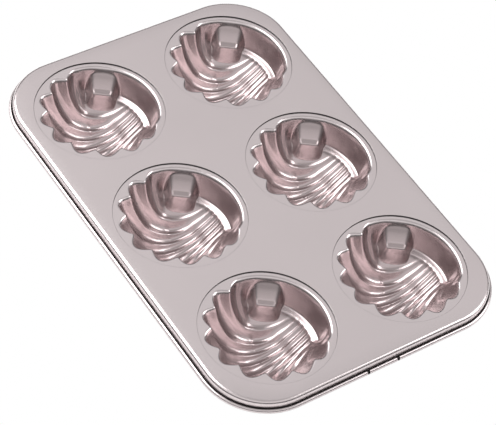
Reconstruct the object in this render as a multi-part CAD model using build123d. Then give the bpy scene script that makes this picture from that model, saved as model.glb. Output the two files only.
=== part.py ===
"""Madeleine pan: a sheet-steel deck with a wired rim and six drawn shell-shaped cups.

Frame: millimetres, +Z up, origin on the plane that the pan rests on, below the middle of the deck.
+X runs along the short side, +Y along the long side away from the front edge.
"""
from build123d import *
import math
import os

# Sheet and wire
deck_sheet = 0.6
cup_sheet = 0.6
wire_diameter = 1.4
wire_clearance = 0.05

# One cup: mouth is the edge of the bowl, depth runs from the flange's top face to the inside floor
mouth_radius = 34.9
cup_depth = 32.6
land_width = 2.6
flange_overlap = 2.5
flange_clearance = 0.05

# Places of the cups and the edge of the deck
cups_across = 2
cups_along = 3
cup_gap = 7.4
side_margin = 5.4
end_margin = 6.0
corner_radius = 35.0

# Rolled rim: bend at the deck's edge, short skirt, then a curl round the wire
bend_radius = 2.2
skirt_drop = 4.6
curl_turn = 290.0

# Crimp marks in the front bead
notch_spacing = 19.5
notch_width = 2.0
notch_depth = 0.4

# Walls of a cup, from the middle outwards: shares of the mouth radius, then of the cup's depth
flute_profile_shares = (
    (0.0, 1.0), (0.16, 0.985), (0.32, 0.93), (0.43, 0.865), (0.556, 0.764), (0.645, 0.652),
    (0.753, 0.494), (0.86, 0.315), (0.925, 0.17), (0.968, 0.05), (1.0, 0.0),
)
hinge_profile_shares = (
    (0.0, 1.0), (0.16, 0.985), (0.376, 0.916), (0.538, 0.775), (0.667, 0.663), (0.769, 0.58),
    (0.806, 0.534), (0.86, 0.489), (0.887, 0.478), (0.914, 0.404), (0.941, 0.225), (0.968, 0.08),
    (1.0, 0.0),
)

# Flutes: a fan of ribs that meet the mouth at even angles and draw together towards the hinge
rib_count = 9
rib_angle_step = 27.2
middle_rib = 4
middle_rib_angle = 179.5
rib_cut_share = 0.097
rib_height_share = 0.036
rib_softness = 0.25
fan_axis_share = 0.059
fan_pitch_share = 0.0753
fan_spread_share = 0.0785
fan_spread_rate = 1.77
fan_curve_share = 0.00645

# Hinge side: the plain wall with its ledge lies between these angles
hinge_start = -62.0
hinge_full = -38.0
hinge_last = 72.0
hinge_end = 84.0

# Pocket beside the hinge, a shallow seat with a steep front, in the direction of pocket_angle
pocket_angle = 55.0
pocket_half_angle = 14.5
pocket_depth_share = 0.281
pocket_lip_share = 0.735
pocket_front_rate = 63.0
pocket_side_share = 0.67
pocket_crest_start_share = 0.71
pocket_crest_slope = 1.05
pocket_blend_share = 0.04

# Rings of points that a cup's surface is drawn through, from the flat floor out to the mouth
floor_ring_share = 0.12
ring_count = 24
points_per_rib = 8
points_past_fan = 34
probe_share = 0.01

# Sizes that follow from the ones above
hole_radius = mouth_radius + land_width
flange_radius = hole_radius + flange_overlap
cup_pitch = 2 * flange_radius + cup_gap
pan_width = cup_pitch * (cups_across - 1) + 2 * (flange_radius + side_margin)
pan_length = cup_pitch * (cups_along - 1) + 2 * (flange_radius + end_margin)
curl_inner_radius = wire_diameter / 2 + wire_clearance
curl_outer_radius = curl_inner_radius + deck_sheet
curl_drop = skirt_drop + curl_outer_radius
flange_drop = deck_sheet + flange_clearance
deck_height = flange_drop + cup_depth + cup_sheet


def smooth_step(start, end, value):
    """Rise from 0 at start to 1 at end without a kink."""
    share = min(1, max(0, (value - start) / (end - start)))
    return share * share * (3 - 2 * share)


def profile_height(shares, radius):
    """Smooth curve through a profile's points that never rises above its neighbours."""
    last = len(shares) - 1
    radius = min(max(radius, shares[0][0]), shares[last][0])
    index = 0
    while index < last - 1 and radius > shares[index + 1][0]:
        index += 1

    def slope(place):
        if place in (0, last):
            return 0
        (x0, y0), (x1, y1), (x2, y2) = shares[place - 1:place + 2]
        before = (y1 - y0) / (x1 - x0)
        after = (y2 - y1) / (x2 - x1)
        return 2 * before * after / (before + after) if before * after > 0 else 0

    (x0, y0), (x1, y1) = shares[index], shares[index + 1]
    width = x1 - x0
    t = (radius - x0) / width
    ends = y0 + (y1 - y0) * t * t * (3 - 2 * t)
    slopes = slope(index) * t * (1 - t) ** 2 - slope(index + 1) * t * t * (1 - t)
    return ends + width * slopes


def rib_crest(phase):
    """1 on a rib's crest, 0 between two ribs, for a phase that grows by 1 from rib to rib."""
    if not 0.5 < phase < rib_count + 0.5:
        return 0
    valley = math.hypot(math.sin(math.pi * phase), rib_softness)
    return max(0, (1 - valley) / (1 - rib_softness))


def rim_phase(angle):
    """Phase of the flutes along the mouth, at an angle in degrees from 0 to 360."""
    return middle_rib + (angle - middle_rib_angle) / rib_angle_step


def flutes(x, y):
    """Phase of the flutes and the distance between two ribs, at a place in shares of the mouth radius."""
    pitch = fan_pitch_share + fan_spread_share * math.exp(-fan_spread_rate * x)
    curve = fan_curve_share * min(2, max(0.15, 1 - 1.55 * x)) ** 2
    bend = math.sqrt(pitch / (3 * curve))
    across = y - fan_axis_share
    steps = 2 * bend * math.sinh(math.asinh(1.5 * across / (pitch * bend)) / 3)
    radius = math.hypot(x, y)
    angle = math.degrees(math.atan2(y, x)) % 360
    # Near the mouth the ribs turn towards its lobes
    to_rim = smooth_step(0.54, 0.88, radius) * smooth_step(70, 92, angle) * (1 - smooth_step(308, 330, angle))
    phase = middle_rib - steps + to_rim * (rim_phase(angle) - middle_rib + steps)
    return phase, pitch + 3 * curve * steps * steps


def hinge_share(x, y):
    """1 along the plain wall beside the hinge, 0 along the fluted wall."""
    angle = math.degrees(math.atan2(y, x))
    return smooth_step(hinge_start, hinge_full, angle) * (1 - smooth_step(hinge_last, hinge_end, angle))


def pocket_height(x, y):
    """Depth of the pocket's own surface, which matters only where the bowl around it lies deeper."""
    radius = math.hypot(x, y)
    turn = math.degrees(math.atan2(y, x)) - pocket_angle
    aside = abs((turn + 180) % 360 - 180) / pocket_half_angle
    along = radius * math.cos(math.radians(turn))
    crest = pocket_depth_share - pocket_crest_slope * (radius - pocket_crest_start_share)
    crest = min(pocket_depth_share, max(0, crest))
    hollow = (pocket_depth_share - crest) * max(0, 1 - aside ** 3)
    side = pocket_side_share * max(0, aside - 1) ** 1.5
    front = pocket_front_rate * max(0, pocket_lip_share - along) ** 2
    return crest + hollow + side + front


def bowl_depth(x, y):
    """Depth of the bowl as a share of the cup's depth, at a place in shares of the mouth radius."""
    radius = math.hypot(x, y)
    phase, pitch = flutes(x, y)
    crest = rib_crest(phase)
    hinge = hinge_share(x, y)
    wall_cut = rib_cut_share * smooth_step(0.43, 0.86, radius) * (1 - hinge)
    reach = radius / (1 - wall_cut * crest)
    fluted = profile_height(flute_profile_shares, reach)
    plain = profile_height(hinge_profile_shares, reach)
    depth = fluted + (plain - fluted) * hinge
    floor_share = 1 - smooth_step(0.64, 0.86, radius)
    depth -= rib_height_share * min(1, pitch / fan_pitch_share - 0.2) * crest * floor_share
    return blend_lower(depth, pocket_height(x, y), pocket_blend_share)


def blend_lower(first, second, softness):
    """The lower of two values, with a soft change from one to the other."""
    share = min(1, max(0, 0.5 + (second - first) / (2 * softness)))
    return second + (first - second) * share - softness * share * (1 - share)


def mouth_share(angle):
    """Radius of the lobed mouth as a share of the mouth radius."""
    hinge = hinge_share(math.cos(math.radians(angle)), math.sin(math.radians(angle)))
    return 1 - rib_cut_share * rib_crest(rim_phase(angle)) * (1 - hinge)


def ring_angles():
    """Angles of a ring's points: evenly spaced from rib to rib, then round the hinge side."""
    fan_start = middle_rib_angle - middle_rib * rib_angle_step
    fan_points = points_per_rib * rib_count
    fan_angle = rib_angle_step * rib_count
    fan = [fan_start + fan_angle * step / fan_points for step in range(fan_points)]
    rest = 360 - fan_angle
    return fan + [fan_start + fan_angle + rest * step / points_past_fan for step in range(points_past_fan)]


def closed_curve(points):
    """Closed smooth curve through a ring's points."""
    return Wire([Edge.make_spline(points, periodic=True)])


def bowl_point(x, y):
    """Point on the inside of the bowl, below the flange's top face."""
    share = bowl_depth(x, y) if math.hypot(x, y) < 1 else 0
    return Vector(x * mouth_radius, y * mouth_radius, -share * cup_depth)


def bowl_ring(ring_share, outside):
    """One closed curve of a bowl's inside, or of its outside, one sheet further out."""
    points = []
    for angle in ring_angles():
        to_mouth = 1 - smooth_step(0.3, 0.9, ring_share) * (1 - mouth_share(angle))
        x = ring_share * to_mouth * math.cos(math.radians(angle))
        y = ring_share * to_mouth * math.sin(math.radians(angle))
        point = bowl_point(x, y)
        if outside:
            slope_x = bowl_point(x + probe_share, y) - bowl_point(x - probe_share, y)
            slope_y = bowl_point(x, y + probe_share) - bowl_point(x, y - probe_share)
            point -= slope_x.cross(slope_y).normalized() * cup_sheet
        points.append(point)
    return closed_curve(points)


def flat_ring(radius_of, drop):
    """Closed flat curve whose radius at an angle is given by radius_of."""
    points = []
    for angle in ring_angles():
        radius = radius_of(angle)
        turn = math.radians(angle)
        points.append(Vector(radius * math.cos(turn), radius * math.sin(turn), -drop))
    return closed_curve(points)


def make_cup():
    """One drawn cup with its flange: a closed skin up the inside, over the flange and down the outside."""
    def floor(angle):
        return floor_ring_share * mouth_radius

    def mouth(angle):
        return mouth_share(angle) * mouth_radius

    def mouth_below(angle):
        return mouth(angle) + cup_sheet / 2

    def edge(angle):
        return flange_radius

    ring_step = (1 - floor_ring_share) / ring_count
    wall_shares = [floor_ring_share + ring_step * step for step in range(1, ring_count)]
    rings = [flat_ring(floor, cup_depth)]
    rings += [bowl_ring(share, outside=False) for share in wall_shares]
    rings += [flat_ring(mouth, 0), flat_ring(edge, 0), flat_ring(edge, cup_sheet), flat_ring(mouth_below, cup_sheet)]
    rings += [bowl_ring(share, outside=True) for share in reversed(wall_shares)]
    rings += [flat_ring(floor, cup_depth + cup_sheet)]
    return Solid.make_loft(rings, ruled=True)


def rim_section():
    """Section of the rolled rim, with x from the skirt's outer face and the height from the deck's top."""
    bend_center = (-bend_radius, -bend_radius)
    curl_center = (curl_inner_radius, -curl_drop)
    end_angle = 180 + curl_turn
    end_turn = math.radians(end_angle)
    curl_end = [
        (curl_inner_radius + radius * math.cos(end_turn), -curl_drop + radius * math.sin(end_turn))
        for radius in (curl_inner_radius, curl_outer_radius)
    ]
    outline = [
        CenterArc(bend_center, bend_radius, 0, 90),
        Line((0, -bend_radius), (0, -curl_drop)),
        CenterArc(curl_center, curl_inner_radius, 180, curl_turn),
        Line(curl_end[0], curl_end[1]),
        CenterArc(curl_center, curl_outer_radius, 180, curl_turn),
        Line((-deck_sheet, -curl_drop), (-deck_sheet, -bend_radius)),
        CenterArc(bend_center, bend_radius - deck_sheet, 0, 90),
        Line((-bend_radius, -deck_sheet), (-bend_radius, 0)),
    ]
    return Plane.XZ * make_face(outline)


def wire_section():
    """Section of the rim wire, in the middle of the curl."""
    center = Pos(curl_inner_radius, -curl_drop)
    return Plane.XZ * center * Circle(wire_diameter / 2)


def around_deck(section):
    """Carry a section along the four sides and round the four corners of the skirt's outer face."""
    pieces = []
    for quarter in range(4):
        across, along = (pan_width, pan_length) if quarter % 2 == 0 else (pan_length, pan_width)
        side = along - 2 * corner_radius
        placed = Pos(across / 2, side / 2, 0) * section
        center = (across / 2 - corner_radius, side / 2, 0)
        straight = extrude(placed, side, dir=(0, -1, 0))
        corner = revolve(placed, Axis(center, (0, 0, 1)), 90)
        pieces += [Rot(0, 0, 90 * quarter) * straight, Rot(0, 0, 90 * quarter) * corner]
    return pieces[0].fuse(*pieces[1:])


def cup_places():
    """Node name and middle of each cup."""
    columns = ("left", "right")
    rows = ("front", "middle", "back")
    for row in range(cups_along):
        for column in range(cups_across):
            x = (column - (cups_across - 1) / 2) * cup_pitch
            y = (row - (cups_along - 1) / 2) * cup_pitch
            yield f"cup_{rows[row]}_{columns[column]}", x, y


def make_notch():
    """Cutter for one crimp mark: a narrow V that points down, in the front of the bead."""
    top = -skirt_drop
    bottom = top - 2 * curl_outer_radius
    outline = Polyline((-notch_width / 2, top), (notch_width / 2, top), (0, bottom), close=True)
    front = pan_length / 2 + curl_inner_radius + curl_outer_radius
    return Pos(0, -front + notch_depth, 0) * extrude(Plane.XZ * make_face(outline), 2 * notch_depth, dir=(0, -1, 0))


def make_deck():
    """The deck with its round openings and rolled rim, as one sheet."""
    inner_width = pan_width - 2 * bend_radius
    inner_length = pan_length - 2 * bend_radius
    outline = RectangleRounded(inner_width, inner_length, corner_radius - bend_radius)
    for name, x, y in cup_places():
        outline -= Pos(x, y) * Circle(hole_radius)
    plate = extrude(outline, -deck_sheet)
    deck = plate.fuse(around_deck(rim_section()))
    for side in (-1, 1):
        deck -= Pos(side * notch_spacing / 2, 0, 0) * make_notch()
    return deck


def write_node(name, shape):
    """Write one sub-part, lifted so that the pan stands on its origin's plane."""
    lifted = Pos(0, 0, deck_height) * shape
    export_step(lifted, f"parts/{name}.step")


def main():
    os.makedirs("parts", exist_ok=True)
    write_node("deck", make_deck())
    write_node("rim_wire", around_deck(wire_section()))
    cup = make_cup()
    for name, x, y in cup_places():
        write_node(name, Pos(x, y, -flange_drop) * cup)


if __name__ == "__main__":
    main()
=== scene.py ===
"""Six-cup madeleine pan: coated sheet deck with a rolled rim and six shell-shaped cups."""
import math

import bmesh
import bpy
from bpy.props import FloatProperty, FloatVectorProperty, IntProperty, PointerProperty
from mathutils import Matrix, Vector


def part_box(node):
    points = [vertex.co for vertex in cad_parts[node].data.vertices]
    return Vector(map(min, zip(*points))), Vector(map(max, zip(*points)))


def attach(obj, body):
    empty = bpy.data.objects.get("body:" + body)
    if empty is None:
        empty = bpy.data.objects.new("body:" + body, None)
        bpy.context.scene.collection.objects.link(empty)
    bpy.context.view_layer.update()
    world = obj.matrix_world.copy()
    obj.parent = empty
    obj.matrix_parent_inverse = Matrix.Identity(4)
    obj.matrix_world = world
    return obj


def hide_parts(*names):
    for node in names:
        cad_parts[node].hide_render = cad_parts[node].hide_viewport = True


bl_info = {
    "name": "Madeleine Pan",
    "version": (1, 0, 0),
    "blender": (4, 5, 0),
    "location": "View3D > Sidebar > Pan",
    "description": "Builds a six-cup madeleine pan round its packed frame",
    "category": "Object",
}

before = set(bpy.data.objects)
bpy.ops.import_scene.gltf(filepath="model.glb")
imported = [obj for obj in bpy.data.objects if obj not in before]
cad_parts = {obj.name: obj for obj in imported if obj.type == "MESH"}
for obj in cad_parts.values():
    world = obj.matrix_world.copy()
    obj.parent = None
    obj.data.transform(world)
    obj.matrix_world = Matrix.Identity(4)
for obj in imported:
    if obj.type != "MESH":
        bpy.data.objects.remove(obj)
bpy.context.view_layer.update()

MM = 0.001
DECK_LOW, DECK_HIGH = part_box("deck")
CUP_NODES = sorted(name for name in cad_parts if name.startswith("cup_"))
BODY = "root"

# Depths under the deck's top between which the deck's colour turns into the cups' darker one, painted
# shade for the inside of the cups
SHADE_UP_TO = 1.2 * MM
SHADE_FROM = 3.5 * MM

# Points closer than this become one, on a swept edge and where the openings meet the sheet
SWEEP_WELD = 0.01 * MM
OPENING_WELD = 0.005 * MM
LEVEL_TOLERANCE = 0.01 * MM

# Largest angle in degrees between two faces that are shaded as one surface
DECK_SMOOTH_ANGLE = 32
CUP_SMOOTH_ANGLE = 60


# Sizes and colours that a user would change

class PanSizes(bpy.types.PropertyGroup):
    """Sizes of the sheet, the rim and one cup."""

    sheet: FloatProperty(
        name="Sheet", description="Thickness of the deck and of the cups",
        default=0.6 * MM, subtype="DISTANCE", unit="LENGTH")
    clearance: FloatProperty(
        name="Clearance", description="Gap between the deck and a cup's flange under it",
        default=0.05 * MM, subtype="DISTANCE", unit="LENGTH")
    corner_radius: FloatProperty(
        name="Corner radius", description="Radius of the skirt's outer face at the pan's corners",
        default=35.0 * MM, subtype="DISTANCE", unit="LENGTH")
    bend_radius: FloatProperty(
        name="Bend radius", description="Outer radius of the bend between deck and skirt",
        default=2.2 * MM, subtype="DISTANCE", unit="LENGTH")
    skirt_drop: FloatProperty(
        name="Skirt drop", description="From the deck's top down to the curl",
        default=4.6 * MM, subtype="DISTANCE", unit="LENGTH")
    curl_inner_radius: FloatProperty(
        name="Curl inner radius", description="Inner radius of the curl round the rim wire",
        default=0.75 * MM, subtype="DISTANCE", unit="LENGTH")
    curl_turn: FloatProperty(
        name="Curl turn", description="How far the curl goes round, in degrees",
        default=266.0)
    hole_radius: FloatProperty(
        name="Opening radius", description="Radius of the deck's round openings",
        default=37.5 * MM, subtype="DISTANCE", unit="LENGTH")
    hole_edge: FloatProperty(
        name="Opening edge", description="Rounding of the sheet's edge round an opening",
        default=0.18 * MM, subtype="DISTANCE", unit="LENGTH")
    flange_radius: FloatProperty(
        name="Flange radius", description="Outer radius of a cup's flange under the deck",
        default=40.0 * MM, subtype="DISTANCE", unit="LENGTH")
    mouth_radius: FloatProperty(
        name="Mouth radius", description="Radius of a cup's mouth",
        default=34.9 * MM, subtype="DISTANCE", unit="LENGTH")
    cup_depth: FloatProperty(
        name="Cup depth", description="From the flange's top face to the inside floor",
        default=32.6 * MM, subtype="DISTANCE", unit="LENGTH")
    notch_spacing: FloatProperty(
        name="Notch spacing", description="Distance between the two notches in the front of the curl",
        default=19.5 * MM, subtype="DISTANCE", unit="LENGTH")
    notch_width: FloatProperty(
        name="Notch width", description="Width of a notch at its open top",
        default=2.4 * MM, subtype="DISTANCE", unit="LENGTH")
    notch_depth: FloatProperty(
        name="Notch depth", description="How far a notch goes into the curl",
        default=1.7 * MM, subtype="DISTANCE", unit="LENGTH")


class PanDetail(bpy.types.PropertyGroup):
    """How finely the round stretches are divided."""

    cup_steps: IntProperty(
        name="Cup steps", description="Points round one cup", default=400, min=72)
    cup_rings: IntProperty(
        name="Cup rings", description="Rings from the floor of a cup to its mouth", default=88, min=12)
    corner_steps: IntProperty(
        name="Corner steps", description="Steps round one corner of the pan", default=24, min=4)
    arc_steps: IntProperty(
        name="Arc steps", description="Steps in a quarter turn of the rim's section", default=8, min=2)
    hole_steps: IntProperty(
        name="Opening steps", description="Points round one of the deck's openings", default=144, min=24)


class PanFinish(bpy.types.PropertyGroup):
    """Colours and gloss of the coating and the wire, with painted shade in the cups, in the curl and on
    the wire.
    """

    coating: FloatVectorProperty(
        name="Coating", description="Colour of the non-stick coating",
        default=(0.66, 0.59, 0.595), size=3, subtype="COLOR", min=0, max=1)
    # Painted shade: this darker colour stands in for the shade that falls inside the cups
    cup_painted_shade: FloatVectorProperty(
        name="Coating in the cups", description="Colour of the coating where it lies thicker, in the cups",
        default=(0.5, 0.422, 0.425), size=3, subtype="COLOR", min=0, max=1)
    roughness: FloatProperty(
        name="Roughness", description="Roughness of the coating", default=0.24, min=0, max=1)
    # Painted shade: near-black where shade falls in the curl, on the openings' cut edge and in the notches
    painted_gap_shade: FloatVectorProperty(
        name="Inside of the curl", description="Colour of the bare sheet inside the curl",
        default=(0.03, 0.027, 0.027), size=3, subtype="COLOR", min=0, max=1)
    # Painted shade: the real steel wire is made near-black so that the crease where it shows turns black
    wire: FloatVectorProperty(
        name="Wire", description="Colour of the rim wire",
        default=(0.05, 0.047, 0.047), size=3, subtype="COLOR", min=0, max=1)


class StudioSettings(bpy.types.PropertyGroup):
    """Lamps, floor and camera."""

    floor_colour: FloatVectorProperty(
        name="Floor", description="Colour of the floor",
        default=(0.93, 0.93, 0.93), size=3, subtype="COLOR", min=0, max=1)
    lens: FloatProperty(
        name="Lens", description="Focal length of the camera in millimetres", default=159.28)


SHARED_GROUPS = {
    "pan_sizes": PanSizes,
    "pan_detail": PanDetail,
    "pan_finish": PanFinish,
    "pan_studio": StudioSettings,
}


# Shape of one cup, in shares of the mouth radius across and of the cup's depth down

FLUTE_PROFILE_SHARES = (
    (0.0, 1.0), (0.16, 0.985), (0.32, 0.93), (0.43, 0.865), (0.556, 0.764), (0.645, 0.652),
    (0.753, 0.494), (0.86, 0.312), (0.925, 0.155), (0.955, 0.062), (0.975, 0.024), (0.997, 0.005),
    (1.02, 0.0),
)
HINGE_PROFILE_SHARES = (
    (0.0, 1.0), (0.16, 0.985), (0.376, 0.916), (0.538, 0.775), (0.667, 0.663), (0.76, 0.565),
    (0.778, 0.537), (0.793, 0.521), (0.872, 0.494), (0.884, 0.475), (0.895, 0.42), (0.917, 0.3),
    (0.941, 0.165), (0.958, 0.07), (0.968, 0.042), (0.983, 0.017), (1.0, 0.004), (1.02, 0.0),
)
FLOOR_RING_SHARE = 0.02
LAND_RING_SHARE = 1.03
HINGE_START = -32.0
HINGE_FULL = -20.0
HINGE_LAST = 72.0
HINGE_END = 84.0

# Ribs: each runs in a curve from its end beside the hinge, past a bend in the bowl, to the mouth
RIB_COUNT = 9
MIDDLE_RIB = 4
RIM_RIB_ANGLE = 179.5
RIM_RIB_STEP = 27.2
RIM_RADIUS_SHARE = 0.967
# For ribs 0 to 10, x and y of the end, then of the bend
# The first and the last only give directions
RIB_SHARES = (
    (0.645, 0.392, -0.054, 0.709), (0.704, 0.295, -0.215, 0.462), (0.747, 0.193, -0.311, 0.241),
    (0.767, 0.088, -0.322, 0.107), (0.774, -0.013, -0.269, -0.021), (0.766, -0.114, -0.161, -0.114),
    (0.741, -0.22, 0.032, -0.177), (0.693, -0.328, 0.14, -0.285), (0.645, -0.419, 0.355, -0.516),
    (0.688, -0.451, 0.645, -0.559), (0.795, -0.355, 0.849, -0.333),
)
RIB_RISE = 0.28
RIB_SOFTNESS = 0.12
RIB_FADE = 0.03
RIB_END_SHARE = 0.45
RIB_GROWTH = 0.4
RIB_LOSS = (7.4, 8.8)
RIB_LAST_LOSS = 0.6
RIB_WALL_START_SHARE = 0.4
RIB_WALL_FULL_SHARE = 0.9
RIB_WALL_SINE = 0.87
SOLVE_STEP = 0.004
SOLVE_ROUNDS = 6
PROBE_SHARE = 0.01

# Pocket: a slope from the mouth down to a level lip with a steep front
POCKET_PROFILE_SHARES = (
    (0.0, 4.0), (0.58, 1.15), (0.602, 0.863), (0.629, 0.69), (0.645, 0.52), (0.656, 0.42),
    (0.677, 0.357), (0.709, 0.334), (0.752, 0.308), (0.784, 0.276), (0.86, 0.19),
    (0.935, 0.095), (0.965, 0.06), (1.1, 0.058),
)
POCKET_ANGLE = 55.0
POCKET_FLAT_ANGLE = 9.0
POCKET_ROUND_ANGLE = 11.0
POCKET_SIDE_DROP_SHARE = 0.4
POCKET_SIDE_RATE = 2.0
POCKET_BLEND_SHARE = 0.05


def smooth_step(start, end, value):
    """Rise from 0 at start to 1 at end without a kink."""
    share = min(1, max(0, (value - start) / (end - start)))
    return share * share * (3 - 2 * share)


def profile_height(shares, radius):
    """Smooth curve through a profile's points that never rises above its neighbours."""
    last = len(shares) - 1
    radius = min(max(radius, shares[0][0]), shares[last][0])
    index = 0
    while index < last - 1 and radius > shares[index + 1][0]:
        index += 1

    def slope(place):
        if place in (0, last):
            return 0
        (x0, y0), (x1, y1), (x2, y2) = shares[place - 1:place + 2]
        before = (y1 - y0) / (x1 - x0)
        after = (y2 - y1) / (x2 - x1)
        return 2 * before * after / (before + after) if before * after > 0 else 0

    (x0, y0), (x1, y1) = shares[index], shares[index + 1]
    width = x1 - x0
    t = (radius - x0) / width
    ends = y0 + (y1 - y0) * t * t * (3 - 2 * t)
    slopes = slope(index) * t * (1 - t) ** 2 - slope(index + 1) * t * t * (1 - t)
    return ends + width * slopes


def between_ribs(rib):
    """End and bend of a rib's curve, for a rib number that may be a fraction."""
    last = len(RIB_SHARES) - 1
    low = min(last - 1, max(0, math.floor(rib)))
    t = rib - low
    nearby = [RIB_SHARES[min(last, max(0, low + step))] for step in (-1, 0, 1, 2)]
    if not 0 <= t <= 1:
        return [b + (c - b) * t for a, b, c, d in zip(*nearby)]
    return [
        b + (c - a) * t / 2 + (a - 2.5 * b + 2 * c - d / 2) * t ** 2
        + ((d - a) / 2 + 1.5 * (b - c)) * t ** 3
        for a, b, c, d in zip(*nearby)
    ]


def rib_place(rib, along):
    """Place on a rib's curve, from 0 beside the hinge to 1 at the mouth; rib may be a fraction."""
    end_x, end_y, bend_x, bend_y = between_ribs(rib)
    rim_turn = math.radians(RIM_RIB_ANGLE + RIM_RIB_STEP * (rib - MIDDLE_RIB))
    near, middle, far = (1 - along) ** 2, 2 * along * (1 - along), along ** 2
    x = near * end_x + middle * bend_x + far * RIM_RADIUS_SHARE * math.cos(rim_turn)
    y = near * end_y + middle * bend_y + far * RIM_RADIUS_SHARE * math.sin(rim_turn)
    return x, y


RIB_PLACES = [
    (*rib_place(rib / 2, quarter / 4), rib / 2, quarter / 4)
    for rib in range(-1, 2 * len(RIB_SHARES)) for quarter in range(-1, 6)
]


def find_rib(x, y):
    """Rib number as a fraction, place along it and the distance between two ribs, at a place."""
    rib, along = min(RIB_PLACES, key=lambda place: (place[0] - x) ** 2 + (place[1] - y) ** 2)[2:]
    pitch = 0
    for turn in range(SOLVE_ROUNDS):
        here = rib_place(rib, along)
        aside = rib_place(rib + SOLVE_STEP, along)
        ahead = rib_place(rib, along + SOLVE_STEP)
        rib_x, rib_y = (aside[0] - here[0]) / SOLVE_STEP, (aside[1] - here[1]) / SOLVE_STEP
        along_x, along_y = (ahead[0] - here[0]) / SOLVE_STEP, (ahead[1] - here[1]) / SOLVE_STEP
        area = rib_x * along_y - rib_y * along_x
        if abs(area) < SOLVE_STEP ** 2:
            break
        left_x, left_y = x - here[0], y - here[1]
        rib += min(0.5, max(-0.5, (left_x * along_y - left_y * along_x) / area))
        along += min(0.25, max(-0.25, (rib_x * left_y - rib_y * left_x) / area))
        pitch = abs(area) / math.hypot(along_x, along_y)
    return rib, along, pitch


def rib_crest(rib, along):
    """1 on a rib's crest, 0 between two ribs and past the ends of the fan."""
    if not 0.5 < rib < RIB_COUNT + 0.5:
        return 0
    valley = math.hypot(math.sin(math.pi * rib), RIB_SOFTNESS)
    height = max(0, 1 - valley) / (1 - RIB_SOFTNESS)
    growth = RIB_END_SHARE + (1 - RIB_END_SHARE) * smooth_step(0, RIB_GROWTH, along)
    loss = 1 - RIB_LAST_LOSS * smooth_step(*RIB_LOSS, rib)
    return height * smooth_step(-RIB_FADE, RIB_FADE, along) * growth * loss


def pocket_depth(x, y):
    """Depth of the pocket's own surface, which shows only where the bowl lies deeper."""
    turn = math.degrees(math.atan2(y, x)) - POCKET_ANGLE
    along = math.hypot(x, y) * math.cos(math.radians(turn))
    aside = max(0, abs((turn + 180) % 360 - 180) - POCKET_FLAT_ANGLE) / POCKET_ROUND_ANGLE
    rounding = POCKET_SIDE_DROP_SHARE * (1 - math.sqrt(1 - min(1, aside) ** 2))
    side = rounding + POCKET_SIDE_RATE * max(0, aside - 1)
    return profile_height(POCKET_PROFILE_SHARES, along) + side


def blend_lower(first, second, softness):
    """The lower of two values, with a soft change from one to the other."""
    share = min(1, max(0, 0.5 + (second - first) / (2 * softness)))
    return second + (first - second) * share - softness * share * (1 - share)


def plain_depth(x, y, radius):
    """Depth without ribs and pocket, towards a place but at a given radius."""
    angle = math.degrees(math.atan2(y, x))
    hinge = smooth_step(HINGE_START, HINGE_FULL, angle)
    hinge *= 1 - smooth_step(HINGE_LAST, HINGE_END, angle)
    fluted = profile_height(FLUTE_PROFILE_SHARES, radius)
    return fluted + (profile_height(HINGE_PROFILE_SHARES, radius) - fluted) * hinge


def smooth_depth(x, y):
    """Depth of the bowl with its pocket but without ribs."""
    return blend_lower(plain_depth(x, y, math.hypot(x, y)), pocket_depth(x, y), POCKET_BLEND_SHARE)


def bowl_depth(x, y, depth_ratio):
    """Depth of the bowl as a share of the cup's depth, which is depth_ratio mouth radii."""
    radius = math.hypot(x, y)
    rib, along, pitch = find_rib(x, y)
    rise = RIB_RISE * pitch * rib_crest(rib, along)
    # On the wall a rib moves the surface inwards, on the floor it lifts it
    on_wall = smooth_step(RIB_WALL_START_SHARE, RIB_WALL_FULL_SHARE, radius)
    moved = plain_depth(x, y, radius + on_wall * rise / RIB_WALL_SINE)
    depth = moved - (1 - on_wall) * rise / depth_ratio
    return blend_lower(depth, pocket_depth(x, y), POCKET_BLEND_SHARE)


# Shader node groups

def new_group(name, inputs, outputs):
    """An empty shader node group with its sockets, and its two end nodes."""
    group = bpy.data.node_groups.new(name, "ShaderNodeTree")
    for label, kind, default in inputs:
        socket = group.interface.new_socket(name=label, in_out="INPUT", socket_type=kind)
        if default is not None:
            socket.default_value = default
    for label, kind in outputs:
        group.interface.new_socket(name=label, in_out="OUTPUT", socket_type=kind)
    start = group.nodes.new("NodeGroupInput")
    end = group.nodes.new("NodeGroupOutput")
    return group, start, end


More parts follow.
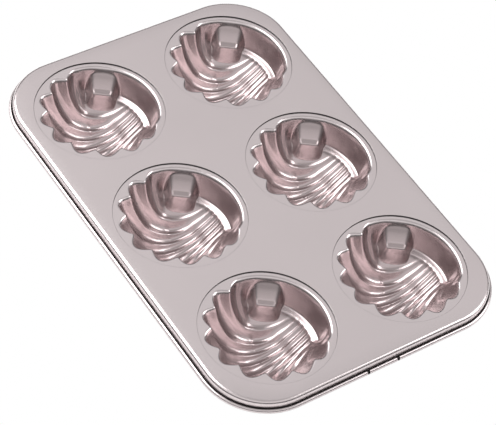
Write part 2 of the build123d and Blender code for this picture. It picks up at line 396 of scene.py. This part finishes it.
def coating_grain_group():
    """Fine flake and faint blotches of a sprayed non-stick coating."""
    group, start, end = new_group(
        "coating_grain",
        [("Flake Scale", "NodeSocketFloat", 1400.0), ("Blotch Scale", "NodeSocketFloat", 26.0),
         ("Light Colour", "NodeSocketColor", (0.62, 0.54, 0.545, 1)),
         ("Dark Colour", "NodeSocketColor", (0.58, 0.5, 0.5, 1)),
         ("Rough Low", "NodeSocketFloat", 0.26), ("Rough High", "NodeSocketFloat", 0.36)],
        [("Colour", "NodeSocketColor"), ("Roughness", "NodeSocketFloat"),
         ("Height", "NodeSocketFloat")])
    nodes, links = group.nodes, group.links
    place = nodes.new("ShaderNodeTexCoord")
    flake = nodes.new("ShaderNodeTexNoise")
    flake.inputs["Detail"].default_value = 2.0
    blotch = nodes.new("ShaderNodeTexNoise")
    blotch.inputs["Detail"].default_value = 3.0
    links.new(place.outputs["Object"], flake.inputs["Vector"])
    links.new(place.outputs["Object"], blotch.inputs["Vector"])
    links.new(start.outputs["Flake Scale"], flake.inputs["Scale"])
    links.new(start.outputs["Blotch Scale"], blotch.inputs["Scale"])
    blend = nodes.new("ShaderNodeMix")
    blend.data_type = "RGBA"
    links.new(blotch.outputs["Fac"], blend.inputs["Factor"])
    links.new(start.outputs["Light Colour"], blend.inputs["A"])
    links.new(start.outputs["Dark Colour"], blend.inputs["B"])
    rough = nodes.new("ShaderNodeMapRange")
    links.new(flake.outputs["Fac"], rough.inputs["Value"])
    links.new(start.outputs["Rough Low"], rough.inputs["To Min"])
    links.new(start.outputs["Rough High"], rough.inputs["To Max"])
    links.new(blend.outputs["Result"], end.inputs["Colour"])
    links.new(rough.outputs["Result"], end.inputs["Roughness"])
    links.new(flake.outputs["Fac"], end.inputs["Height"])
    return group


def coated_material(name, colour, painted_shade_colour, roughness, group):
    """Metallic non-stick coating on drawn steel, turning into a darker colour deep in the cups as painted
    shade.
    """
    material = bpy.data.materials.new(name)
    material.use_nodes = True
    nodes, links = material.node_tree.nodes, material.node_tree.links
    shader = nodes["Principled BSDF"]
    shader.inputs["Metallic"].default_value = 0.97
    shader.inputs["Coat Weight"].default_value = 0.1
    shader.inputs["Coat Roughness"].default_value = 0.12
    grain = nodes.new("ShaderNodeGroup")
    grain.node_tree = group
    place = nodes.new("ShaderNodeTexCoord")
    split = nodes.new("ShaderNodeSeparateXYZ")
    links.new(place.outputs["Object"], split.inputs["Vector"])
    # Painted shade: the colour darkens from the coating's own towards the deep one with depth under the
    # deck's top
    for socket, shade_share in (("Light Colour", 1.0), ("Dark Colour", 0.95)):
        height = nodes.new("ShaderNodeMapRange")
        height.data_type = "FLOAT_VECTOR"
        # Sockets 6 to 10 are its vector value, From Min, From Max, To Min and To Max
        height.inputs[7].default_value = (DECK_HIGH.z - SHADE_FROM,) * 3
        height.inputs[8].default_value = (DECK_HIGH.z - SHADE_UP_TO,) * 3
        height.inputs[9].default_value = Vector(painted_shade_colour) * shade_share
        height.inputs[10].default_value = Vector(colour) * shade_share
        links.new(split.outputs["Z"], height.inputs[6])
        links.new(height.outputs["Vector"], grain.inputs[socket])
    grain.inputs["Rough Low"].default_value = roughness - 0.03
    grain.inputs["Rough High"].default_value = roughness + 0.05
    bump = nodes.new("ShaderNodeBump")
    bump.inputs["Strength"].default_value = 0.08
    bump.inputs["Distance"].default_value = 0.02 * MM
    links.new(grain.outputs["Colour"], shader.inputs["Base Color"])
    links.new(grain.outputs["Roughness"], shader.inputs["Roughness"])
    links.new(grain.outputs["Height"], bump.inputs["Height"])
    links.new(bump.outputs["Normal"], shader.inputs["Normal"])
    return material


def shaded_steel_material(name, colour):
    """Metallic steel with fine variation, here in near-black colours that are painted shade."""
    material = bpy.data.materials.new(name)
    material.use_nodes = True
    nodes, links = material.node_tree.nodes, material.node_tree.links
    shader = nodes["Principled BSDF"]
    shader.inputs["Metallic"].default_value = 1.0
    place = nodes.new("ShaderNodeTexCoord")
    noise = nodes.new("ShaderNodeTexNoise")
    noise.inputs["Scale"].default_value = 900.0
    ramp = nodes.new("ShaderNodeMapRange")
    ramp.inputs["To Min"].default_value = 0.3
    ramp.inputs["To Max"].default_value = 0.5
    tint = nodes.new("ShaderNodeMix")
    tint.data_type = "RGBA"
    tint.inputs["A"].default_value = (*colour, 1)
    tint.inputs["B"].default_value = (*(Vector(colour) * 0.8), 1)
    links.new(place.outputs["Object"], noise.inputs["Vector"])
    links.new(noise.outputs["Fac"], ramp.inputs["Value"])
    links.new(noise.outputs["Fac"], tint.inputs["Factor"])
    links.new(tint.outputs["Result"], shader.inputs["Base Color"])
    links.new(ramp.outputs["Result"], shader.inputs["Roughness"])
    return material


# Mesh helpers

def finish_piece(mesh, name, material, slot, *nodes):
    """Turn a bmesh into a piece that rides on the pan's body and stands for CAD nodes."""
    data = bpy.data.meshes.new(name)
    mesh.to_mesh(data)
    mesh.free()
    data.materials.append(material)
    piece = bpy.data.objects.new(name, data)
    bpy.context.scene.collection.objects.link(piece)
    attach(piece, BODY)
    if nodes:
        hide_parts(*nodes)
    return piece


def shade(mesh, limit):
    """Smooth shading with crisp edges where two faces meet at more than limit degrees."""
    for face in mesh.faces:
        face.smooth = True
    for edge in mesh.edges:
        edge.smooth = edge.calc_face_angle(0) < math.radians(limit)


def chain(mesh, points):
    """Vertices and edges of an open line through points."""
    verts = [mesh.verts.new(point) for point in points]
    edges = [mesh.edges.new(pair) for pair in zip(verts, verts[1:])]
    return verts, edges


def arc(center, radius, start, turn, steps):
    """Points of an arc in a plane, angles in degrees."""
    return [
        (center[0] + radius * math.cos(math.radians(start + turn * step / steps)),
         center[1] + radius * math.sin(math.radians(start + turn * step / steps)))
        for step in range(steps + 1)
    ]


def rim_outline(sizes, detail):
    """Section of the rolled rim, from the deck's top edge round to its lower edge."""
    bend, sheet = sizes.bend_radius, sizes.sheet
    inner = sizes.curl_inner_radius
    outer = inner + sheet
    drop = sizes.skirt_drop + outer
    quarter = detail.arc_steps
    curl_steps = round(quarter * sizes.curl_turn / 60)
    points = arc((-bend, -bend), bend, 90, -90, quarter)
    points += arc((inner, -drop), inner, 180, sizes.curl_turn, curl_steps)
    points += arc((inner, -drop), outer, 180 + sizes.curl_turn, -sizes.curl_turn, curl_steps)
    points += arc((-bend, -bend), bend - sheet, 0, 90, quarter)
    return points


def sweep_round(mesh, edges, across, along, corner, steps):
    """Carry a chain of edges along the four sides and round the four corners of the deck."""
    side_lengths = (along - 2 * corner, across - 2 * corner)
    centers = (
        Vector((across / 2 - corner, along / 2 - corner, 0)),
        Vector((corner - across / 2, along / 2 - corner, 0)),
        Vector((corner - across / 2, corner - along / 2, 0)),
        Vector((across / 2 - corner, corner - along / 2, 0)),
    )
    directions = (Vector((0, 1, 0)), Vector((-1, 0, 0)), Vector((0, -1, 0)), Vector((1, 0, 0)))
    for quarter in range(4):
        made = bmesh.ops.extrude_edge_only(mesh, edges=edges)["geom"]
        verts = [item for item in made if isinstance(item, bmesh.types.BMVert)]
        edges = [item for item in made if isinstance(item, bmesh.types.BMEdge)]
        bmesh.ops.translate(mesh, verts=verts, vec=directions[quarter] * side_lengths[quarter % 2])
        turned = bmesh.ops.spin(
            mesh, geom=verts + edges, cent=centers[quarter], axis=(0, 0, 1), dvec=(0, 0, 0),
            angle=math.radians(90), steps=steps, use_merge=False,
            use_duplicate=False)["geom_last"]
        edges = [item for item in turned if isinstance(item, bmesh.types.BMEdge)]


def opening_rings(mesh, center, sizes, steps):
    """The rounded sheet edge round one opening, with a flat collar above and below."""
    edge, sheet, radius = sizes.hole_edge, sizes.sheet, sizes.hole_radius
    collar = radius + 2 * edge
    outline = [(collar, 0)]
    outline += arc((radius + edge, -edge), edge, 90, 90, 4)
    outline += arc((radius + edge, edge - sheet), edge, 180, 90, 4)
    outline += [(collar, -sheet)]
    points = [Vector((center.x + x, center.y, center.z + z)) for x, z in outline]
    verts, edges = chain(mesh, points)
    bmesh.ops.spin(
        mesh, geom=verts + edges, cent=center, axis=(0, 0, 1), dvec=(0, 0, 0),
        angle=math.radians(360), steps=steps, use_merge=True, use_duplicate=False)


def fill_level(mesh, level):
    """Fill the flat sheet between the open edges that lie at one height."""
    edges = [
        edge for edge in mesh.edges
        if edge.is_boundary
        and all(abs(vert.co.z - level) < LEVEL_TOLERANCE for vert in edge.verts)
    ]
    bmesh.ops.triangle_fill(mesh, use_beauty=True, use_dissolve=False, edges=edges)


def cup_center(node):
    """Middle of a cup's mouth at the height of the deck's top."""
    low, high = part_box(node)
    return Vector(((low.x + high.x) / 2, (low.y + high.y) / 2, DECK_HIGH.z))


def paint_shade_in_gaps(mesh, sizes, across, along, top):
    """Give the second material, near-black painted shade, to the inside of the curl and the openings' cut
    edge.
    """
    middle_drop = sizes.skirt_drop + sizes.curl_inner_radius + sizes.sheet
    reach = sizes.curl_inner_radius + sizes.sheet / 2
    for face in mesh.faces:
        place = face.calc_center_median()
        beside = max(0, abs(place.x) - across / 2 + sizes.corner_radius)
        ahead = max(0, abs(place.y) - along / 2 + sizes.corner_radius)
        out = math.hypot(beside, ahead) - sizes.corner_radius
        if math.hypot(out - sizes.curl_inner_radius, place.z - top + middle_drop) < reach:
            face.material_index = 1
    for center in (cup_center(node) for node in CUP_NODES):
        for face in mesh.faces:
            place = face.calc_center_median() - center
            if math.hypot(place.x, place.y) < sizes.hole_radius + sizes.hole_edge / 2:
                face.material_index = 1


class PAN_OT_deck(bpy.types.Operator):
    """Build the deck: flat sheet, six openings, bend, skirt and curl"""

    bl_idname = "pan.deck"
    bl_label = "Deck"

    def execute(self, context):
        sizes, detail = context.scene.pan_sizes, context.scene.pan_detail
        bead = 2 * sizes.curl_inner_radius + sizes.sheet
        across = DECK_HIGH.x - DECK_LOW.x - 2 * bead
        along = DECK_HIGH.y - DECK_LOW.y - 2 * bead
        top = DECK_HIGH.z
        mesh = bmesh.new()
        start = Vector((across / 2, sizes.corner_radius - along / 2, top))
        points = [start + Vector((x, 0, z)) for x, z in rim_outline(sizes, detail)]
        verts, edges = chain(mesh, points)
        sweep_round(mesh, edges, across, along, sizes.corner_radius, detail.corner_steps)
        bmesh.ops.remove_doubles(mesh, verts=mesh.verts, dist=SWEEP_WELD)
        for node in CUP_NODES:
            opening_rings(mesh, cup_center(node), sizes, detail.hole_steps)
        bmesh.ops.remove_doubles(mesh, verts=mesh.verts, dist=OPENING_WELD)
        fill_level(mesh, top)
        fill_level(mesh, top - sizes.sheet)
        bmesh.ops.recalc_face_normals(mesh, faces=mesh.faces)
        shade(mesh, DECK_SMOOTH_ANGLE)
        # Near-black painted shade in the curl and on the openings' cut edge
        paint_shade_in_gaps(mesh, sizes, across, along, top)
        coating = bpy.data.materials["deck_coating"]
        deck = finish_piece(mesh, "deck_sheet", coating, "coated_sheet", "deck")
        deck.data.materials.append(bpy.data.materials["painted_gap_shade"])
        return {"FINISHED"}


class PAN_OT_notches(bpy.types.Operator):
    """Cut the two notches into the front of the curl"""

    bl_idname = "pan.notches"
    bl_label = "Notches"

    def execute(self, context):
        sizes = context.scene.pan_sizes
        top = DECK_HIGH.z - sizes.skirt_drop + sizes.sheet
        bottom = DECK_LOW.z + sizes.sheet / 2
        front = DECK_LOW.y - sizes.sheet
        mesh = bmesh.new()
        for side in (-1, 1):
            x, half = side * sizes.notch_spacing / 2, sizes.notch_width / 2
            corners = ((x - half, top), (x, bottom), (x + half, top))
            verts = [mesh.verts.new((across, front, height)) for across, height in corners]
            face = mesh.faces.new(verts)
            made = bmesh.ops.extrude_face_region(mesh, geom=[face])["geom"]
            verts = [item for item in made if isinstance(item, bmesh.types.BMVert)]
            bmesh.ops.translate(mesh, verts=verts, vec=(0, sizes.sheet + sizes.notch_depth, 0))
        bmesh.ops.recalc_face_normals(mesh, faces=mesh.faces)
        data = bpy.data.meshes.new("notch_cutter")
        mesh.to_mesh(data)
        mesh.free()
        # The notches' cut faces take the near-black painted shade
        data.materials.append(bpy.data.materials["painted_gap_shade"])
        cutter = bpy.data.objects.new("notch_cutter", data)
        context.scene.collection.objects.link(cutter)
        deck = bpy.data.objects["deck_sheet"]
        modifier = deck.modifiers.new("notches", "BOOLEAN")
        modifier.operation = "DIFFERENCE"
        modifier.solver = "EXACT"
        modifier.material_mode = "TRANSFER"
        modifier.object = cutter
        evaluated = deck.evaluated_get(context.evaluated_depsgraph_get())
        cut = bpy.data.meshes.new_from_object(evaluated)
        deck.modifiers.clear()
        deck.data = cut
        bpy.data.objects.remove(cutter)
        return {"FINISHED"}


def ring_points(sizes, detail, turns):
    """Points of a cup's rings: up the inside, over the flange's edge and down the outside."""
    unit, depth, sheet = sizes.mouth_radius, sizes.cup_depth, sizes.sheet
    ring_step = (LAND_RING_SHARE - FLOOR_RING_SHARE) / detail.cup_rings
    places = [
        [(share * math.cos(turn), share * math.sin(turn)) for turn in turns]
        for share in (FLOOR_RING_SHARE + ring_step * step for step in range(detail.cup_rings))
    ]

    def smooth_point(x, y):
        return Vector((x * unit, y * unit, -smooth_depth(x, y) * depth))

    def outward(x, y):
        slope_x = smooth_point(x + PROBE_SHARE, y) - smooth_point(x - PROBE_SHARE, y)
        slope_y = smooth_point(x, y + PROBE_SHARE) - smooth_point(x, y - PROBE_SHARE)
        return slope_y.cross(slope_x).normalized()

    def level(radius, drop):
        return [Vector((radius * math.cos(turn), radius * math.sin(turn), -drop)) for turn in turns]

    insides = [
        [Vector((x * unit, y * unit, -bowl_depth(x, y, depth / unit) * depth)) for x, y in ring]
        for ring in places
    ]
    outsides = [
        [point + outward(*place) * sheet for point, place in zip(points, ring)]
        for points, ring in zip(insides, places)
    ]
    land, edge = LAND_RING_SHARE * unit, sizes.flange_radius
    flange = [level(land, 0), level(edge, 0), level(edge, sheet), level(land, sheet)]
    return insides + flange + outsides[::-1]


def build_cup(sizes, detail):
    """One cup as a closed skin round its own axis, with its flange's top face at height 0."""
    mesh = bmesh.new()
    bmesh.ops.create_circle(
        mesh, cap_ends=True, segments=detail.cup_steps, radius=sizes.mouth_radius)
    ring, edges = list(mesh.verts), list(mesh.edges)
    turns = [math.atan2(vert.co.y, vert.co.x) for vert in ring]
    stack = ring_points(sizes, detail, turns)
    for vert, point in zip(ring, stack[0]):
        vert.co = point
    for points in stack[1:]:
        made = bmesh.ops.extrude_edge_only(mesh, edges=edges)["geom"]
        edges = [item for item in made if isinstance(item, bmesh.types.BMEdge)]
        fresh = {item for item in made if isinstance(item, bmesh.types.BMVert)}
        following = {}
        for vert in fresh:
            for edge in vert.link_edges:
                following[edge.other_vert(vert)] = vert
        ring = [following[vert] for vert in ring]
        for vert, point in zip(ring, points):
            vert.co = point
    bmesh.ops.contextual_create(mesh, geom=edges)
    bmesh.ops.recalc_face_normals(mesh, faces=mesh.faces)
    return mesh


class PAN_OT_cups(bpy.types.Operator):
    """Build the six drawn cups"""

    bl_idname = "pan.cups"
    bl_label = "Cups"

    def execute(self, context):
        sizes, detail = context.scene.pan_sizes, context.scene.pan_detail
        unit = build_cup(sizes, detail)
        drop = Vector((0, 0, sizes.sheet + sizes.clearance))
        coating = bpy.data.materials["cup_coating_and_shade"]
        for node in CUP_NODES:
            mesh = unit.copy()
            bmesh.ops.translate(mesh, verts=mesh.verts, vec=cup_center(node) - drop)
            shade(mesh, CUP_SMOOTH_ANGLE)
            finish_piece(mesh, node + "_shell", coating, "coated_cup", node)
        unit.free()
        return {"FINISHED"}


class PAN_OT_finishes(bpy.types.Operator):
    """Make the coating and wire materials, with their painted shade"""

    bl_idname = "pan.finishes"
    bl_label = "Finishes"

    def execute(self, context):
        finish = context.scene.pan_finish
        group = coating_grain_group()
        deck = coated_material(
            "deck_coating", finish.coating, finish.coating, finish.roughness, group)
        # The cups' material carries the painted shade deep in the cups
        coated_material("cup_coating_and_shade", finish.coating, finish.cup_painted_shade, finish.roughness, group)
        # The wire is real steel; its near-black colour is painted shade
        wire = shaded_steel_material("shaded_wire", finish.wire)
        # Near-black painted shade for the curl, the openings' cut edge and the notches
        shaded_steel_material("painted_gap_shade", finish.painted_gap_shade)
        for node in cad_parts.values():
            node.data.materials.clear()
            node.data.materials.append(wire if node.name == "rim_wire" else deck)
        return {"FINISHED"}


# Camera solved from the photograph, in its own pixels and in metres from the deck's middle
PHOTO_WIDTH = 496
PHOTO_HEIGHT = 425
PRINCIPAL_POINT = (230.54, 209.55)
SENSOR_WIDTH = 36.0
CAMERA_PLACE = Vector((-533.4, -617.8, 910.8)) * MM
CAMERA_RIGHT = Vector((0.8360, -0.5364, 0.1157))
CAMERA_DOWN = Vector((-0.3454, -0.6783, -0.6486))
CAMERA_NEAR, CAMERA_FAR = 0.01, 50

# Brightness of the surround from straight down, 0, to straight up, 1, and behind the camera
SURROUND_LEVELS = ((0, 0.03), (0.35, 0.15), (0.6, 0.74), (0.78, 0.92), (0.9, 0.54), (1, 0.5))
SURROUND_BEHIND = 1.2

# Soft boxes: name, azimuth and elevation in degrees, distance, width and height, brightness
SOFT_BOXES = (
    ("left_softbox", 122, 46, 1.6, (1.3, 1.5), 4.0),
    ("right_softbox", -28, 35, 1.6, (0.85, 1.15), 3.4),
)
FLOOR_HALF_WIDTH = 3


def add_camera(studio):
    """Camera at the photograph's viewing angle."""
    data = bpy.data.cameras.new("camera")
    data.sensor_width = SENSOR_WIDTH
    data.lens = studio.lens
    data.shift_x = (PHOTO_WIDTH / 2 - PRINCIPAL_POINT[0]) / PHOTO_WIDTH
    data.shift_y = (PRINCIPAL_POINT[1] - PHOTO_HEIGHT / 2) / PHOTO_WIDTH
    camera = bpy.data.objects.new("camera", data)
    right = CAMERA_RIGHT.normalized()
    up = -CAMERA_DOWN.normalized()
    back = right.cross(up).normalized()
    up = back.cross(right)
    turn = Matrix((right, up, back)).transposed().to_4x4()
    camera.matrix_world = Matrix.Translation(CAMERA_PLACE + Vector((0, 0, DECK_HIGH.z))) @ turn
    data.clip_start, data.clip_end = CAMERA_NEAR, CAMERA_FAR
    bpy.context.scene.collection.objects.link(camera)
    bpy.context.scene.camera = camera


def add_lamp(name, azimuth, elevation, distance, size, radiance):
    """Soft box aimed at the middle of the deck, from a direction and at a brightness."""
    data = bpy.data.lights.new(name, "AREA")
    data.shape = "RECTANGLE"
    data.size, data.size_y = size
    data.energy = radiance * math.pi * data.size * data.size_y
    lamp = bpy.data.objects.new(name, data)
    flat = distance * math.cos(math.radians(elevation))
    turn = math.radians(azimuth)
    middle = Vector((0, 0, DECK_HIGH.z))
    lamp.location = middle + Vector((
        flat * math.cos(turn), flat * math.sin(turn), distance * math.sin(math.radians(elevation))))
    lamp.rotation_mode = "QUATERNION"
    lamp.rotation_quaternion = (lamp.location - middle).to_track_quat("Z", "Y")
    bpy.context.scene.collection.objects.link(lamp)


def set_world(levels, behind_level):
    """Surround with a level for each height and behind the camera; the lens sees it as white."""
    world = bpy.data.worlds.new("studio")
    world.use_nodes = True
    nodes, links = world.node_tree.nodes, world.node_tree.links
    nodes.clear()
    out = nodes.new("ShaderNodeOutputWorld")
    path = nodes.new("ShaderNodeLightPath")
    seen = nodes.new("ShaderNodeBackground")
    seen.inputs["Color"].default_value = (1, 1, 1, 1)
    light = nodes.new("ShaderNodeBackground")
    place = nodes.new("ShaderNodeTexCoord")
    split = nodes.new("ShaderNodeSeparateXYZ")
    behind = nodes.new("ShaderNodeVectorMath")
    behind.operation = "DOT_PRODUCT"
    behind.inputs[1].default_value = CAMERA_PLACE.normalized()
    lift = nodes.new("ShaderNodeMapRange")
    lift.interpolation_type = "SMOOTHSTEP"
    lift.inputs["From Min"].default_value = 0.4
    lift.inputs["From Max"].default_value = 0.95
    lift.inputs["To Min"].default_value = 1.0
    lift.inputs["To Max"].default_value = behind_level
    links.new(place.outputs["Generated"], behind.inputs[0])
    links.new(behind.outputs["Value"], lift.inputs["Value"])
    links.new(lift.outputs["Result"], light.inputs["Strength"])
    ramp = nodes.new("ShaderNodeValToRGB")
    stops = ramp.color_ramp.elements
    stops.remove(stops[1])
    stops[0].color = (levels[0][1], levels[0][1], levels[0][1], 1)
    for height, level in levels[1:]:
        stops.new(height).color = (level, level, level, 1)
    links.new(place.outputs["Generated"], split.inputs["Vector"])
    links.new(split.outputs["Z"], ramp.inputs["Fac"])
    links.new(ramp.outputs["Color"], light.inputs["Color"])
    mix = nodes.new("ShaderNodeMixShader")
    links.new(path.outputs["Is Camera Ray"], mix.inputs["Fac"])
    links.new(light.outputs["Background"], mix.inputs[1])
    links.new(seen.outputs["Background"], mix.inputs[2])
    links.new(mix.outputs["Shader"], out.inputs["Surface"])
    bpy.context.scene.world = world


def add_floor(colour):
    """Pale floor that the lens sees as white."""
    mesh = bmesh.new()
    bmesh.ops.create_grid(mesh, x_segments=1, y_segments=1, size=FLOOR_HALF_WIDTH)
    data = bpy.data.meshes.new("floor")
    mesh.to_mesh(data)
    mesh.free()
    floor = bpy.data.objects.new("floor", data)
    bpy.context.scene.collection.objects.link(floor)
    material = bpy.data.materials.new("studio_floor")
    material.use_nodes = True
    nodes, links = material.node_tree.nodes, material.node_tree.links
    shader = nodes["Principled BSDF"]
    shader.inputs["Base Color"].default_value = (*colour, 1)
    shader.inputs["Roughness"].default_value = 0.9
    path = nodes.new("ShaderNodeLightPath")
    glow = nodes.new("ShaderNodeEmission")
    glow.inputs["Strength"].default_value = 1.0
    mix = nodes.new("ShaderNodeMixShader")
    links.new(path.outputs["Is Camera Ray"], mix.inputs["Fac"])
    links.new(shader.outputs["BSDF"], mix.inputs[1])
    links.new(glow.outputs["Emission"], mix.inputs[2])
    links.new(mix.outputs["Shader"], nodes["Material Output"].inputs["Surface"])
    data.materials.append(material)


class PAN_OT_stage(bpy.types.Operator):
    """Build the floor, lamps, world and camera"""

    bl_idname = "pan.stage"
    bl_label = "Stage"

    def execute(self, context):
        studio = context.scene.pan_studio
        context.scene.view_settings.view_transform = "Standard"
        add_camera(studio)
        add_floor(studio.floor_colour)
        set_world(SURROUND_LEVELS, SURROUND_BEHIND)
        for soft_box in SOFT_BOXES:
            add_lamp(*soft_box)
        return {"FINISHED"}


class VIEW3D_PT_pan(bpy.types.Panel):
    """Pan sizes and the steps that build it"""

    bl_label = "Madeleine Pan"
    bl_idname = "VIEW3D_PT_pan"
    bl_space_type = "VIEW_3D"
    bl_region_type = "UI"
    bl_category = "Pan"

    def draw(self, context):
        layout = self.layout
        for attribute, group in SHARED_GROUPS.items():
            values = getattr(context.scene, attribute)
            box = layout.box()
            for key in group.__annotations__:
                box.prop(values, key)
        for operator in OPERATORS:
            layout.operator(operator.bl_idname)


OPERATORS = (PAN_OT_finishes, PAN_OT_deck, PAN_OT_notches, PAN_OT_cups, PAN_OT_stage)


def register():
    """Make the sizes, the operators and the panel known."""
    for group in SHARED_GROUPS.values():
        bpy.utils.register_class(group)
    for attribute, group in SHARED_GROUPS.items():
        setattr(bpy.types.Scene, attribute, PointerProperty(type=group))
    for operator in OPERATORS:
        bpy.utils.register_class(operator)
    bpy.utils.register_class(VIEW3D_PT_pan)


def unregister():
    """Take them away again."""
    bpy.utils.unregister_class(VIEW3D_PT_pan)
    for operator in reversed(OPERATORS):
        bpy.utils.unregister_class(operator)
    for attribute, group in SHARED_GROUPS.items():
        delattr(bpy.types.Scene, attribute)
        bpy.utils.unregister_class(group)


def main():
    """Build the whole pan and its stage."""
    register()
    bpy.ops.pan.finishes()
    bpy.ops.pan.deck()
    bpy.ops.pan.notches()
    bpy.ops.pan.cups()
    bpy.ops.pan.stage()


if __name__ == "__main__":
    main()
